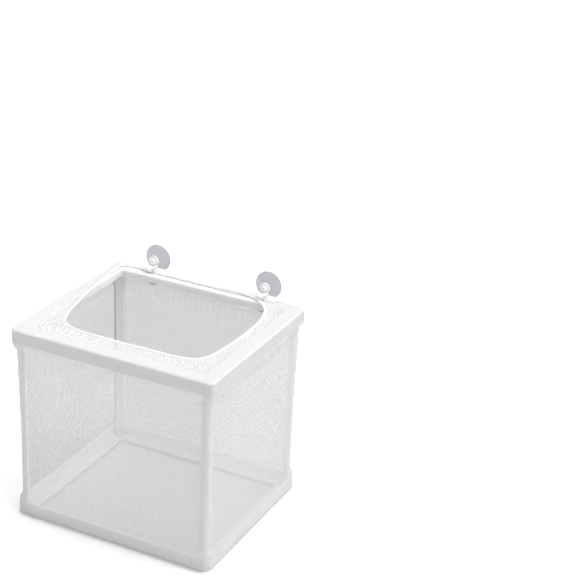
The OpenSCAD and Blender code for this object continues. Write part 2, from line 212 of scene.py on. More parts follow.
def net_material(name, thread=0.297, pu=1.0, pv=0.80, colour=(0.905, 0.905, 0.925), inner=0.27, haze=0.14, glow=0.5):
    """Fine warp-knitted net: zigzag wales that meet at every second course. The holes are see-through.
    UV is in millimetres along the cloth, and the 'dens' attribute says how gathered it is. The sheet's inner side
    (Geometry Backfacing) gets a painted shade: its colour is multiplied by 'inner', standing in for the shade inside
    the bag."""
    m = Nodes(name)
    uv = m.new("ShaderNodeUVMap", uv_map="UVMap").outputs["UV"]
    sep = m.new("ShaderNodeSeparateXYZ")
    # the knit wanders a little
    wob = m.new("ShaderNodeTexNoise", noise_dimensions="2D")
    wob.inputs["Scale"].default_value = 0.16
    wob.inputs["Detail"].default_value = 2.0
    m.link(uv, wob.inputs["Vector"])
    sub = m.new("ShaderNodeVectorMath", operation="SUBTRACT")
    m.link(wob.outputs["Color"], sub.inputs[0])
    sub.inputs[1].default_value = (0.5, 0.5, 0.5)
    sc = m.new("ShaderNodeVectorMath", operation="SCALE")
    m.link(sub.outputs["Vector"], sc.inputs[0])
    sc.inputs["Scale"].default_value = 1.5
    add = m.new("ShaderNodeVectorMath", operation="ADD")
    m.link(uv, add.inputs[0])
    m.link(sc.outputs["Vector"], add.inputs[1])
    m.link(add.outputs["Vector"], sep.inputs[0])
    u, v = sep.outputs["X"], sep.outputs["Y"]

    tri = m.math("PINGPONG", v, pv)                       # 0..pv
    s = m.math("MULTIPLY_ADD", tri, 2.0 / pv, -1.0)       # -1..1
    s = m.math("MULTIPLY", s, 1.5)
    s = m.math("MINIMUM", m.math("MAXIMUM", s, -1.0), 1.0)
    off = m.math("MULTIPLY", s, pu * 0.30)

    def wale(shifted):
        w = m.math("PINGPONG", shifted, pu)               # distance to the nearest wale of this set
        return w
    even = wale(m.math("SUBTRACT", u, off))
    odd = m.math("SUBTRACT", pu, wale(m.math("ADD", u, off)))
    d = m.math("MINIMUM", even, odd)
    dens = m.new("ShaderNodeAttribute", attribute_name="dens").outputs["Fac"]
    patch = m.new("ShaderNodeTexNoise", noise_dimensions="2D")
    patch.inputs["Scale"].default_value = 1.25
    patch.inputs["Detail"].default_value = 2.0
    stretch = m.new("ShaderNodeMapping")
    stretch.inputs["Scale"].default_value = (1.0, 0.24, 1.0)
    m.link(uv, stretch.inputs["Vector"])
    m.link(stretch.outputs["Vector"], patch.inputs["Vector"])
    streak = m.math("SUBTRACT", patch.outputs["Fac"], 0.5)
    width = m.math("MULTIPLY_ADD", dens, 0.34, thread)
    width = m.math("MULTIPLY_ADD", streak, 0.42, width)
    edge = m.math("SUBTRACT", width, d)
    cover = m.math("MULTIPLY_ADD", edge, 6.0, 0.5, clamp=True)
    alpha = m.math("MULTIPLY_ADD", cover, 1.0 - haze, haze)
    # colour: faint blue-grey in the lows of the knit
    tint = m.noise(1.1, 2.0, 0.5, stretch.outputs["Vector"], dims="2D")
    lo = tuple(c * 0.93 for c in colour)
    face = m.ramp(tint, [(0.3, lo), (0.7, colour)])
    # painted shade: seen from its inner side, the sheet's colour is multiplied by 'inner'
    side = m.new("ShaderNodeMix", data_type="RGBA", blend_type="MULTIPLY")
    m.link(m.new("ShaderNodeNewGeometry").outputs["Backfacing"], side.inputs["Factor"])
    m.link(face, side.inputs["A"])
    side.inputs["B"].default_value = (inner, inner * 1.005, inner * 1.02, 1)
    shade = side.outputs["Result"]
    m.link(shade, m.bsdf.inputs["Base Color"])
    round_ = m.math("MULTIPLY", d, -1.0)
    m.link(m.bump(round_, 0.25, 0.0001), m.bsdf.inputs["Normal"])
    m.set(Roughness=0.62)
    m.bsdf.inputs["Specular IOR Level"].default_value = 0.35
    m.bsdf.inputs["Sheen Weight"].default_value = 0.15
    m.bsdf.inputs["Sheen Roughness"].default_value = 0.4
    trans = m.new("ShaderNodeBsdfTranslucent")
    m.link(shade, trans.inputs["Color"])
    body = m.new("ShaderNodeMixShader")
    body.inputs["Fac"].default_value = glow
    m.link(m.bsdf.outputs["BSDF"], body.inputs[1])
    m.link(trans.outputs["BSDF"], body.inputs[2])
    clear = m.new("ShaderNodeBsdfTransparent")
    mix = m.new("ShaderNodeMixShader")
    m.link(alpha, mix.inputs["Fac"])
    m.link(clear.outputs["BSDF"], mix.inputs[1])
    m.link(body.outputs["Shader"], mix.inputs[2])
    m.link(mix.outputs["Shader"], m.out.inputs["Surface"])
    return m.mat


def thread_material(name, colour, ply_mm=0.9, slant=1.4, sheen=0.3):
    """Twisted yarn: slanted plies run round the tube, in UV millimetres."""
    m = Nodes(name)
    uv = m.new("ShaderNodeUVMap", uv_map="UVMap").outputs["UV"]
    sep = m.new("ShaderNodeSeparateXYZ")
    m.link(uv, sep.inputs[0])
    along = m.math("MULTIPLY_ADD", sep.outputs["Y"], slant, sep.outputs["X"])
    ply = m.math("SINE", m.math("MULTIPLY", along, 2 * math.pi / ply_mm))
    fine = m.new("ShaderNodeTexNoise", noise_dimensions="2D")
    fine.inputs["Scale"].default_value = 2.6
    fine.inputs["Detail"].default_value = 4.0
    m.link(uv, fine.inputs["Vector"])
    mixv = m.math("MULTIPLY_ADD", fine.outputs["Fac"], 0.9, ply)
    # colour follows the bump height: darker in the grooves between the plies as a painted shade, with random fibre tone
    # from the noise
    lo = tuple(c * 0.90 for c in colour)
    m.link(m.ramp(m.range(mixv, -0.9, 1.7, 0, 1), [(0.1, lo), (0.75, colour)]), m.bsdf.inputs["Base Color"])
    m.link(m.bump(mixv, 0.3, 0.00008), m.bsdf.inputs["Normal"])
    m.set(Roughness=0.7)
    m.bsdf.inputs["Sheen Weight"].default_value = sheen
    m.bsdf.inputs["Subsurface Weight"].default_value = 0.8
    m.bsdf.inputs["Subsurface Radius"].default_value = (1.0, 1.0, 1.0)
    m.bsdf.inputs["Subsurface Scale"].default_value = 0.002
    m.bsdf.inputs["Specular IOR Level"].default_value = 0.3
    return m.mat


def clear_material(name, colour, transmission, rough, ior, tint_noise=14.0):
    """Clear moulded plastic with faint flow clouding."""
    m = Nodes(name)
    co = m.new("ShaderNodeTexCoord").outputs["Object"]
    cloud = m.noise(tint_noise * 10, 3.0, 0.5, co)
    lo = tuple(c * 0.95 for c in colour)
    m.link(m.ramp(cloud, [(0.3, lo), (0.7, colour)]), m.bsdf.inputs["Base Color"])
    m.link(m.range(m.noise(420.0, 4.0, 0.6, co), 0.3, 0.7, rough * 0.7, rough * 1.4), m.bsdf.inputs["Roughness"])
    m.link(m.bump(m.noise(700.0, 2.0, 0.5, co), 0.06, 0.0002), m.bsdf.inputs["Normal"])
    m.bsdf.inputs["Transmission Weight"].default_value = transmission
    if transmission < 0.2:                                 # thick pieces look milky
        m.bsdf.inputs["Subsurface Weight"].default_value = 0.6
        m.bsdf.inputs["Subsurface Radius"].default_value = (0.95, 0.96, 1.0)
        m.bsdf.inputs["Subsurface Scale"].default_value = 0.004
    m.bsdf.inputs["IOR"].default_value = ior
    m.bsdf.inputs["Specular IOR Level"].default_value = 0.5
    return m.mat


# ---------------------------------------------------------------- mesh helpers

def add_mesh(name, verts, faces, mat=None, smooth=True, uvs=None, dens=None):
    """A mesh object from vertices in millimetres; uvs holds one pair for each vertex."""
    mesh = bpy.data.meshes.new(name)
    mesh.from_pydata([tuple(float(c) * MM for c in p) for p in verts], [], faces)
    mesh.validate()
    if uvs is not None:
        layer = mesh.uv_layers.new(name="UVMap")
        idx = np.zeros(len(mesh.loops), np.int32)
        mesh.loops.foreach_get("vertex_index", idx)
        layer.data.foreach_set("uv", np.asarray(uvs, np.float32)[idx].ravel())
    if dens is not None:
        a = mesh.attributes.new("dens", "FLOAT", "POINT")
        a.data.foreach_set("value", np.asarray(dens, np.float32).ravel())
    if smooth:
        mesh.polygons.foreach_set("use_smooth", [True] * len(mesh.polygons))
    mesh.update()
    o = bpy.data.objects.new(name, mesh)
    scene.collection.objects.link(o)
    if mat is not None:
        mesh.materials.append(mat)
    return o


def grid_faces(nu, nv, wrap_u=False):
    """Quads of a grid stored as index = i * nv + j; i runs along u."""
    f = []
    for i in range(nu if wrap_u else nu - 1):
        k = (i + 1) % nu
        for j in range(nv - 1):
            f.append((i * nv + j, k * nv + j, k * nv + j + 1, i * nv + j + 1))
    return f


def ease(t):
    t = np.clip(t, 0, 1)
    return t * t * (3 - 2 * t)


def fbm(x, y, z, octaves=2):
    return noise.fractal(Vector((x, y, z)), 1.0, 2.0, octaves)


def resample(pts, n, closed=True):
    """n points spaced evenly along a polyline."""
    p = np.asarray(pts, float)
    if closed:
        p = np.vstack([p, p[:1]])
    seg = np.linalg.norm(np.diff(p, axis=0), axis=1)
    s = np.concatenate([[0], np.cumsum(seg)])
    t = np.linspace(0, s[-1], n + 1 if closed else n)
    out = np.stack([np.interp(t, s, p[:, k]) for k in range(p.shape[1])], 1)
    return out[:-1] if closed else out


def catmull(pts, per=16):
    """Closed Catmull-Rom curve through the points."""
    p = np.asarray(pts, float)
    n = len(p)
    out = []
    for i in range(n):
        a, b, c, d = p[i - 1], p[i], p[(i + 1) % n], p[(i + 2) % n]
        for k in range(per):
            t = k / per
            out.append(0.5 * ((2 * b) + (c - a) * t + (2 * a - 5 * b + 4 * c - d) * t * t + (3 * b - a - 3 * c + d) * t ** 3))
    return np.array(out)


def tube_mesh(path, radius, sides=10, closed=False, flat=1.0, up=None, twist=0.0):
    """Vertices, faces and UVs (mm) of a tube along a path. radius may be one number or one for each ring."""
    p = np.asarray(path, float)
    n = len(p)
    r = np.broadcast_to(np.asarray(radius, float), (n,))
    if closed:
        tang = np.roll(p, -1, 0) - np.roll(p, 1, 0)
    else:
        tang = np.gradient(p, axis=0)
    tang /= np.linalg.norm(tang, axis=1)[:, None]
    up = np.array([0, 0, 1.0]) if up is None else np.asarray(up, float)
    side = np.cross(tang, up)
    side /= np.maximum(np.linalg.norm(side, axis=1)[:, None], 1e-9)
    nor = np.cross(side, tang)
    seg = np.linalg.norm(np.diff(p, axis=0), axis=1)
    dist = np.concatenate([[0], np.cumsum(seg)])
    verts, uvs = [], []
    for i in range(n):
        for k in range(sides):
            a = 2 * math.pi * k / sides + twist * dist[i]
            verts.append(p[i] + r[i] * (math.cos(a) * side[i] + flat * math.sin(a) * nor[i]))
            uvs.append((dist[i], 2 * math.pi * r[i] * k / sides))
    f = []
    for i in range(n if closed else n - 1):
        j = (i + 1) % n
        for k in range(sides):
            m = (k + 1) % sides
            f.append((i * sides + k, j * sides + k, j * sides + m, i * sides + m))
    if not closed:
        f.append(tuple(range(sides)))
        f.append(tuple((n - 1) * sides + k for k in range(sides))[::-1])
    return verts, f, uvs


# ---------------------------------------------------------------- the bag's walls

def plan_side(k, inset, rc=RC, n_corner=12, n_side=150):
    """Points along side k of the plan at this inset, with half of each corner, and their unit outward normals.
    Side 0 faces -Y, 1 faces +X, 2 faces +Y, 3 faces -X, each taken anticlockwise seen from above."""
    half, dist = (HW, HD) if k % 2 == 0 else (HD, HW)
    r = max(rc - inset, 0.4)
    c = half - rc
    keep = rc - inset - r                                  # a corner tighter than this stays a little round
    pts, nor = [], []
    for i in range(n_corner):
        a = math.radians(-135 + 45 * i / n_corner)
        pts.append((-c - keep + r * math.cos(a), -(dist - rc) - keep + r * math.sin(a)))
        nor.append((math.cos(a), math.sin(a)))
    for i in range(n_side + 1):
        pts.append((-c + 2 * c * i / n_side, -dist + inset))
        nor.append((0.0, -1.0))
    for i in range(1, n_corner + 1):
        a = math.radians(-90 + 45 * i / n_corner)
        pts.append((c + keep + r * math.cos(a), -(dist - rc) - keep + r * math.sin(a)))
        nor.append((math.cos(a), math.sin(a)))
    a = math.radians(90 * k)
    rot = np.array([[math.cos(a), math.sin(a)], [-math.sin(a), math.cos(a)]])
    return np.array(pts) @ rot, np.array(nor) @ rot


def wall_heights():
    z = [0.25]
    z += list(np.linspace(1.6, BASE_H - 0.6, 10))
    z += list(np.linspace(BASE_H, BASE_H + 14, 22))
    z += list(np.linspace(BASE_H + 17, SKIRT_Z - 21, 34))
    z += list(np.linspace(SKIRT_Z - 18, SKIRT_Z - 8.5, 9))
    z += list(np.linspace(SKIRT_Z - 7.5, SKIRT_Z + 0.2, 16))
    z += list(np.linspace(SKIRT_Z + 0.9, TOP - 1.6, 8))
    return np.array(z)


def wall_inset(z, q, rear):
    """Inset of the cloth at height z. q is 0 at a corner and 1 in the middle of a side."""
    if z < BASE_H:
        return M_BASE
    t_low = 6.5 + 6.0 * q
    t_top = 7.5 if rear else 7.5 + 5.0 * q
    low = M_BASE + (M_MID - M_BASE) * float(ease((z - BASE_H) / t_low))
    if rear:
        if z > SKIRT_Z - 0.25:
            return 0.25
        return low + (2.95 - M_MID) * float(ease((z - SKIRT_Z + t_top) / 7.0))
    return low * (1 - float(ease((z - SKIRT_Z + t_top) / t_top))) + 0.25 * float(ease((z - SKIRT_Z + t_top) / t_top))


def make_wall(k, name, node, mat):
    heights = wall_heights()
    rear = k == 2
    base, nrm = plan_side(k, 0.0)
    n = len(base)
    side_len = (HW if k % 2 == 0 else HD) - RC
    cache = {}
    rcs = [RC + (RC_TOP - RC) * float(ease((z - 60) / (SKIRT_Z - 10 - 60))) for z in heights]
    run = np.concatenate([[0], np.cumsum(np.linalg.norm(np.diff(base, axis=0), axis=1))])
    mid = run[-1] / 2
    verts, uvs, dens = [], [], []
    seed = 11.3 * (k + 1)
    knit = (1.02, 1.10, 1.45, 1.16)[k]                    # the cloth is stretched a little differently on each side
    for i in range(n):
        q = 1 - min(abs(run[i] - mid) / side_len, 1.0)
        q = float(ease(q * 1.6))
        end = min(run[i], run[-1] - run[i])               # distance from the seam line at the corner
        fade = float(ease(end / 9.0))
        for j, z in enumerate(heights):
            o = wall_inset(z, q, rear)
            key = (round(o, 4), round(rcs[j], 3))
            if key not in cache:
                cache[key] = plan_side(k, o, rcs[j])[0]
            x, y = cache[key][i]
            # the cloth is tight on the rings and slack by a hair between them
            free = float(ease((z - BASE_H - 3) / 14) * ease((SKIRT_Z - 3 - z) / 14)) * fade
            w = 0.26 * free * fbm(run[i] / 23.0 + seed, z / 60.0, seed, 2)
            w += 0.07 * free * fbm(run[i] / 5.0 + seed, z / 38.0, seed + 5, 2)
            # short tucks where it is drawn in under the band and over the bottom ring
            near_top = float(ease((z - SKIRT_Z + 17) / 12) * ease((SKIRT_Z + 1.0 - z) / 4.0))
            near_low = float(ease((BASE_H + 13 - z) / 9) * ease((z - BASE_H + 0.5) / 3.0))
            tuck = math.sin(run[i] * 2 * math.pi / 4.6 + 3 * fbm(run[i] / 17 + seed, 0.3, 2.0))
            w += fade * (0.10 if rear else 0.07) * near_top * tuck + 0.08 * fade * near_low * tuck
            if j == 0:                                       # tucked round the lower edge
                o2 = 2.1
                if ("b", k) not in cache:
                    cache[("b", k)] = plan_side(k, o2)[0]
                x, y = cache[("b", k)][i]
                w = 0.0
            elif z < 2.0:
                w = 0.0
            verts.append((x + nrm[i][0] * w, y + nrm[i][1] * w, z))
            uvs.append(((run[i] + 300 * k) * knit, z * knit))
            near_band = float(ease((z - SKIRT_Z + 8) / 8)) * 0.06
            dens.append(near_band + (0.10 * (1 - fade)))
    o = add_mesh(name, verts, grid_faces(n, len(heights)), mat, True, uvs, dens)
    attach(o, "box")
    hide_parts(node)
    return o


def make_floor_net(mat):
    """The bag's floor: flat on the ground inside the bottom ring, with a few soft creases."""
    nx, ny = 150, 132
    ox = 2.1
    r = RC - ox
    creases = [((-35.5, -45.1), (-33.8, -23.5)), ((-65.3, 28.6), (-59.4, 48.3)), ((-34.8, -30.0), (-27.0, -18.0)),
               ((-62.0, 38.0), (-50.0, 44.0))]
    verts, uvs, dens = [], [], []
    w, d = HW - ox, HD - ox
    for i in range(nx):
        for j in range(ny):
            x = -w + 2 * w * i / (nx - 1)
            y = -d + 2 * d * j / (ny - 1)
            # draw the square corners in to the rounded plan
            cx, cy = w - r, d - r
            if abs(x) > cx and abs(y) > cy:
                ax, ay = (abs(x) - cx) / r, (abs(y) - cy) / r
                m = max(ax, ay)
                n = math.hypot(ax, ay)
                if n > 0:
                    x = math.copysign(cx + ax / n * m * r, x)
                    y = math.copysign(cy + ay / n * m * r, y)
            z = 0.25
            open_ = 0.0                                      # the knit is pulled open along a crease
            inner = float(ease((68.0 - abs(x)) / 8) * ease((58.0 - abs(y)) / 8))
            if inner > 0:
                z += inner * 0.28 * (0.5 + 0.5 * fbm(x / 16, y / 16, 4.4, 2))
                for (a, b) in creases:
                    ax, ay = b[0] - a[0], b[1] - a[1]
                    ll = ax * ax + ay * ay
                    t = min(max(((x - a[0]) * ax + (y - a[1]) * ay) / ll, 0), 1)
                    dd = math.hypot(x - a[0] - t * ax, y - a[1] - t * ay)
                    fold = math.exp(-(dd / 0.9) ** 2) * math.sin(math.pi * min(max(t, 0.03), 0.97)) ** 0.5
                    z += inner * 0.75 * fold
                    open_ = max(open_, inner * fold)
            verts.append((x, y, z))
            uvs.append((x + 37.0, y + 80.0))
            dens.append(0.05 - 0.30 * open_)
    o = add_mesh("net_floor_sheet", verts, [f[::-1] for f in grid_faces(nx, ny)], mat, True, uvs, dens)
    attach(o, "box")
    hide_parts("net_floor")


# ---------------------------------------------------------------- the collar and its elastic hem

HEM_Z = 148.42
MOUTH = [(-73.0, 58), (-72.0, 45), (-69.9, 28), (-66.6, 6), (-62.6, -14), (-59.9, -26), (-56.6, -35.8),
         (-52.2, -42.0), (-45.5, -46.4), (-36.6, -48.6), (-18, -48.9), (2, -48.8), (22, -48.6), (38, -48.1),
         (47.0, -46.9), (53.0, -44.2), (57.4, -39.0), (60.0, -30.5), (61.6, -17), (62.8, 0), (62.9, 20),
         (61.7, 33), (58.6, 45), (53.7, 53.6), (46, 60.4), (37.5, 64.6), (27, 66.3), (8, 66.7), (-20, 66.7),
         (-50, 66.7), (-63, 66.5), (-69.5, 65.2), (-72.4, 62.4)]


def hem_line(n=1440):
    """The middle of the hem, from the middle of the front, anticlockwise seen from above."""
    p = resample(catmull(MOUTH), n)
    start = np.argmin(np.hypot(p[:, 0], p[:, 1] + 48.9))
    return np.roll(p, -start, 0)


def hem_height(p):
    """Height of the hem's middle: on the rim at the rear, a little slack over the front."""
    x, y = p
    free = float(ease((56.0 - y) / 20))
    rear = float(ease((y - 61.0) / 4.5))
    return HEM_Z - 0.35 * free * (1 - abs(x) / 90) + 0.10 * fbm(x / 14, y / 14, 2.2, 2) * free - 0.28 * rear


def outer_line(inset, rc, n=1440):
    pts = []
    r = rc - inset
    for k, (sx, sy, a0) in enumerate(((1, -1, -90), (1, 1, 0), (-1, 1, 90), (-1, -1, 180))):
        for i in range(41):
            a = math.radians(a0 + 90 * i / 40)
            pts.append((sx * (HW - rc) + r * math.cos(a), sy * (HD - rc) + r * math.sin(a)))
    p = resample(pts, n)
    start = np.argmin(np.hypot(p[:, 0], p[:, 1] + (HD - inset)))
    return np.roll(p, -start, 0)


def make_collar(mat):
    hem = hem_line()
    out = outer_line(0.25, RC_TOP)
    n = len(hem)
    # matching places on the two lines: middles of the sides, and corners
    a_out = [(0, -70), (80, -70), (80, 0), (80, 70), (0, 70), (-80, 70), (-80, 0), (-80, -70)]
    a_hem = [(0, -48.9), (56.0, -41.5), (62.9, 6), (53, 54.5), (0, 66.7), (-71.5, 64.2), (-66.6, 6), (-54.5, -39.5)]
    io = [int(np.argmin(np.hypot(out[:, 0] - x, out[:, 1] - y))) for x, y in a_out]
    ih = [int(np.argmin(np.hypot(hem[:, 0] - x, hem[:, 1] - y))) for x, y in a_hem]
    io[0] = ih[0] = 0
    io.append(n)
    ih.append(n)
    cols = []
    for s in range(8):
        m = 190
        for i in range(m):
            f = i / m
            cols.append((io[s] + (io[s + 1] - io[s]) * f, ih[s] + (ih[s + 1] - ih[s]) * f, s + f))
    nc = len(cols)
    rows = 46
    s_row = np.linspace(0, 1, rows)
    # how strongly each stretch is gathered: corners L (7), F (1), R (3), sides little
    gather_at = [0.40, 0.62, 0.50, 0.62, 0.15, 0.15, 0.35, 1.0]
    verts, uvs, dens = [], [], []
    phase = 0.0
    last_h = 0.0
    for ci, (fo, fh, seg) in enumerate(cols):
        o = out[int(fo) % n] * (1 - fo % 1) + out[(int(fo) + 1) % n] * (fo % 1)
        h = hem[int(fh) % n] * (1 - fh % 1) + hem[(int(fh) + 1) % n] * (fh % 1)
        length_h = fh / n * 480.0
        g = gather_at[int(seg) % 8] * (1 - seg % 1) + gather_at[(int(seg) + 1) % 8] * (seg % 1)
        d = h - o
        D = math.hypot(*d)
        hz = hem_height(h)
        # pleats come wide and deep at the front left, fine and shallow elsewhere
        deep = float(ease((g - 0.45) / 0.5))
        spacing = (2.15 + 1.5 * deep) * (1 + 0.35 * fbm(length_h / 8.0, 1.7, 0.4, 2))
        phase += 2 * math.pi * (length_h - last_h) / spacing
        last_h = length_h
        ph2 = length_h * 2 * math.pi / 1.15 + 1.9 * fbm(length_h / 3.0, 5.7, 0.9, 2)
        ridge = (0.5 + 0.5 * math.sin(phase)) ** (1.0 + 0.8 * deep)
        tall = 0.55 + 0.45 * (0.5 + 0.9 * fbm(length_h / 5.0, 8.8, 1.3, 2))
        fine = math.sin(ph2)
        for r_ in range(rows):
            s = s_row[r_]
            x, y = o + d * s
            # distance in from the bag's outside
            ins = min(HW - abs(x), HD - abs(y))
            cx, cy = abs(x) - (HW - RC_TOP), abs(y) - (HD - RC_TOP)
            if cx > 0 and cy > 0:
                ins = RC_TOP - math.hypot(cx, cy)
            if ins < 1.35:
                a = math.acos(min(max((1.35 - ins) / 1.10, -1), 1))
                z = RIM_Z + 0.25 - 1.10 + 1.10 * math.sin(a)
            else:
                z = RIM_Z + 0.25
            over = float(ease((ins - 10.5) / 3.5))          # past the rim's inner edge
            near = s ** 1.5
            to_hem = float(ease((s - 0.80) / 0.20))
            z = z * (1 - to_hem) + (hz - 0.1) * to_hem
            if over > 0:
                z -= 0.30 * over * math.sin(math.pi * s) ** 2
            start = 9.0 - 6.0 * deep * tall
            lift = float(ease((ins - start) / 6.0))
            amp = (0.42 + 0.95 * deep) * tall * (0.35 + 0.65 * g) * lift * (0.55 + 0.45 * near)
            if y > 54:                                      # low under the hangers' tongues
                amp *= 0.35
            z += amp * (ridge - 0.3 * over)
            z += 0.10 * (0.35 + g) * near * fine * float(ease((ins - 3.0) / 6.0)) * (0.4 if y > 54 else 1)
            z += 0.04 * (1 + fine) * float(ease((ins - 1.5) / 3.0))
            if y > 57.5:
                z = min(z, 148.85)
            verts.append((x, y, z))
            L_o = fo / n * 585.0
            uvs.append((L_o * (1 - 0.25 * s) + length_h * 0.25 * s, 150 + D * s * 0.9))
            fold = (ridge - 0.45) * (0.22 + 0.25 * deep) * lift
            dens.append(0.08 + 0.16 * lift + 0.22 * near + fold)
    # the grid: index = col * rows + row; the strip closes on itself
    o = add_mesh("net_collar_sheet", verts, grid_faces(nc, rows, True), mat, True, uvs, dens)
    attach(o, "box")
    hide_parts("net_collar")
    return o


def make_hem(mat, elastic, thread):
    hem = hem_line(2200)
    z = np.array([hem_height(p) for p in hem])
    path = np.column_stack([hem, z])
    sides = 14
    n = len(path)
    length = 480.0
    tang = np.roll(hem, -1, 0) - np.roll(hem, 1, 0)
    tang /= np.linalg.norm(tang, axis=1)[:, None]
    side = np.column_stack([tang[:, 1], -tang[:, 0]])     # outward
    verts, uvs = [], []
    for i in range(n):
        s = i / n * length
        pinch = 0.5 + 0.5 * math.sin(2 * math.pi * s / 1.6 + 1.5 * fbm(s / 7, 3.1, 0, 2))
        wide = 0.98 + 0.16 * pinch + 0.10 * fbm(s / 9, 1.1, 7, 2)
        high = (0.34 + 0.10 * pinch) * (1 - 0.4 * float(ease((path[i][1] - 60) / 5)))
        for k in range(sides):
            a = 2 * math.pi * k / sides
            # a rolled edge: full on the inside, thin where it is sewn to the net
            c, sn = math.cos(a), math.sin(a)
            hh = high * (1.0 - 0.25 * c)
            if sn < 0:                                       # at the rear it lies down on the bare rim
                hh += (path[i][2] - 147.62 - hh) * float(ease((path[i][1] - 57.0) / 2.5))
            verts.append((path[i][0] + side[i][0] * wide * c, path[i][1] + side[i][1] * wide * c, path[i][2] + hh * sn))
            uvs.append((s, 1.1 * 2 * math.pi * k / sides))
    f = []
    for i in range(n):
        j = (i + 1) % n
        for k in range(sides):
            m = (k + 1) % sides
            f.append((i * sides + k, j * sides + k, j * sides + m, i * sides + m))
    o = add_mesh("hem_roll", verts, f, mat, True, uvs)
    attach(o, "box")
    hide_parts("elastic_hem")

    v, f, uv = tube_mesh(path[::3], 0.17, 8, closed=True)
    e = add_mesh("hem_elastic", v, f, elastic, True, uv)
    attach(e, "box")
    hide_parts("elastic_cord")

    # overlock stitches along the hem's outer edge: short slanted bars over a running loop
    verts, faces, uvs = [], [], []
    pts = resample(hem, 300)
    zz = np.array([hem_height(p) for p in pts])
    tg = np.roll(pts, -1, 0) - np.roll(pts, 1, 0)
    tg /= np.linalg.norm(tg, axis=1)[:, None]
    sd = np.column_stack([tg[:, 1], -tg[:, 0]])
    for i in range(len(pts)):
        a = np.array([*(pts[i] + sd[i] * 1.22), zz[i] - 0.02])
        b = np.array([*(pts[i] + sd[i] * 0.62 + tg[i] * 0.45), zz[i] + 0.36])
        c = np.array([*(pts[i] + sd[i] * 0.05 + tg[i] * 0.75), zz[i] + 0.42])
        v, f, uv = tube_mesh([a, (a + b) / 2 + np.array([0, 0, 0.05]), b, c], [0.07, 0.085, 0.085, 0.06], 6)
        base = len(verts)
        verts += v
        uvs += uv
        faces += [tuple(q + base for q in face) for face in f]
    st = add_mesh("hem_stitches", verts, faces, thread, True, uvs)
    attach(st, "box")

    # slack net bunched behind the hem along the rear rim: a low ridge with uneven folds
    section = [(63.70, 147.56), (64.60, 147.82), (65.50, 148.16), (66.30, 148.56), (67.10, 149.00), (67.80, 149.42),
               (68.50, 149.86), (69.05, 150.18), (69.50, 150.30), (69.78, 150.14), (69.90, 149.60), (69.92, 148.80),
               (69.86, 148.08), (69.20, 148.02), (67.80, 148.02), (66.90, 147.56)]
    m = len(section)
    xs = np.linspace(-60.8, 60.8, 620)
    verts, uvs = [], []
    for x in xs:
        e_ = 0.10 + 0.90 * float(ease((60.9 - abs(x)) / 7.0))
        fold = math.sin(2 * math.pi * x / 2.9 + 2.4 * fbm(x / 6, 4.0, 1.0, 2))
        fine = math.sin(2 * math.pi * x / 1.1 + 2.0 * fbm(x / 3, 9.0, 1.0, 2))
        slump = 0.12 * (1 + fbm(x / 11, 2.0, 6.0, 2))
        for j, (y, z) in enumerate(section):
            top = float(ease((z - 148.6) / 0.8))
            dz = top * (0.09 * (fold - 1) + 0.04 * (fine - 1) - slump)
            dy = 0.08 * (fold + 0.4 * fine) * (1 if 0 < j < 8 else 0)
            base = 147.56 + 0.46 * float(ease((y - 66.0) / 1.5 + 1 - e_))
            wide = 0.2 + 0.8 * e_
            verts.append((x, 69.95 - (69.95 - min(max(y + dy, 63.6), 69.95)) * wide, base + (z + dz - base) * e_))
            uvs.append((x + 60, j * 0.6))
    f = []
    for i in range(len(xs) - 1):
        for k in range(m):
            k2 = (k + 1) % m
            f.append((i * m + k, i * m + k2, (i + 1) * m + k2, (i + 1) * m + k))
    f.append(tuple(range(m))[::-1])
    f.append(tuple((len(xs) - 1) * m + k for k in range(m)))
    bunch = add_mesh("rear_gather", verts, f, mat, True, uvs)
    bm = bmesh.new()
    bm.from_mesh(bunch.data)
    bmesh.ops.recalc_face_normals(bm, faces=bm.faces)
    bm.to_mesh(bunch.data)
    bm.free()
    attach(bunch, "box")
    return o, e, st, bunch


# ---------------------------------------------------------------- seams, knot and loose thread

TAIL = [(-42.5, 64.94, 147.82), (-42.3, 63.7, 147.82), (-42.0, 62.4, 147.82), (-41.7, 61.1, 147.84),
        (-41.5, 59.8, 147.86), (-41.4, 59.12, 147.68), (-41.3, 58.62, 147.18), (-41.2, 58.44, 146.5),
        (-41.0, 58.40, 144.8), (-41.0, 58.40, 142.8), (-41.2, 58.40, 140.6), (-40.9, 58.4, 138.4),
        (-40.2, 58.6, 136.0), (-39.6, 58.7, 133.6), (-39.4, 58.8, 131.2), (-38.9, 58.8, 128.8),
        (-37.8, 58.9, 126.4), (-36.5, 58.9, 124.0), (-35.3, 58.8, 121.6)]
TAIL_R = 0.3


def make_tail(mat):
    p = np.array(TAIL)
    fine = []
    for i in range(len(p) - 1):
        a, b, c, d = p[max(i - 1, 0)], p[i], p[i + 1], p[min(i + 2, len(p) - 1)]
        for k in range(5):
            t = k / 5
            fine.append(0.5 * ((2 * b) + (c - a) * t + (2 * a - 5 * b + 4 * c - d) * t * t + (3 * b - a - 3 * c + d) * t ** 3))
    fine.append(p[-1])
    v, f, uv = tube_mesh(fine, TAIL_R, 10, up=(1.0, 0.05, 0.02))
    o = add_mesh("loose_thread", v, f, mat, True, uv)
    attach(o, "box")
    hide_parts("thread_tail")
    # the knot that it starts from: three turns of the same thread
    kx, ky, kz = -42.5, 65.34, 147.94
    pts = []
    for i in range(96):
        t = 2 * math.pi * i / 96
        r = 0.21 + 0.085 * math.cos(3 * t)
        pts.append((kx + r * math.cos(2 * t), ky + r * math.sin(2 * t), kz + 0.10 * math.sin(3 * t)))
    v, f, uv = tube_mesh(pts, 0.13, 8, closed=True, up=(0.2, 0.1, 1))
    k = add_mesh("tail_knot", v, f, mat, True, uv)
    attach(k, "box")
    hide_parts("elastic_knot")


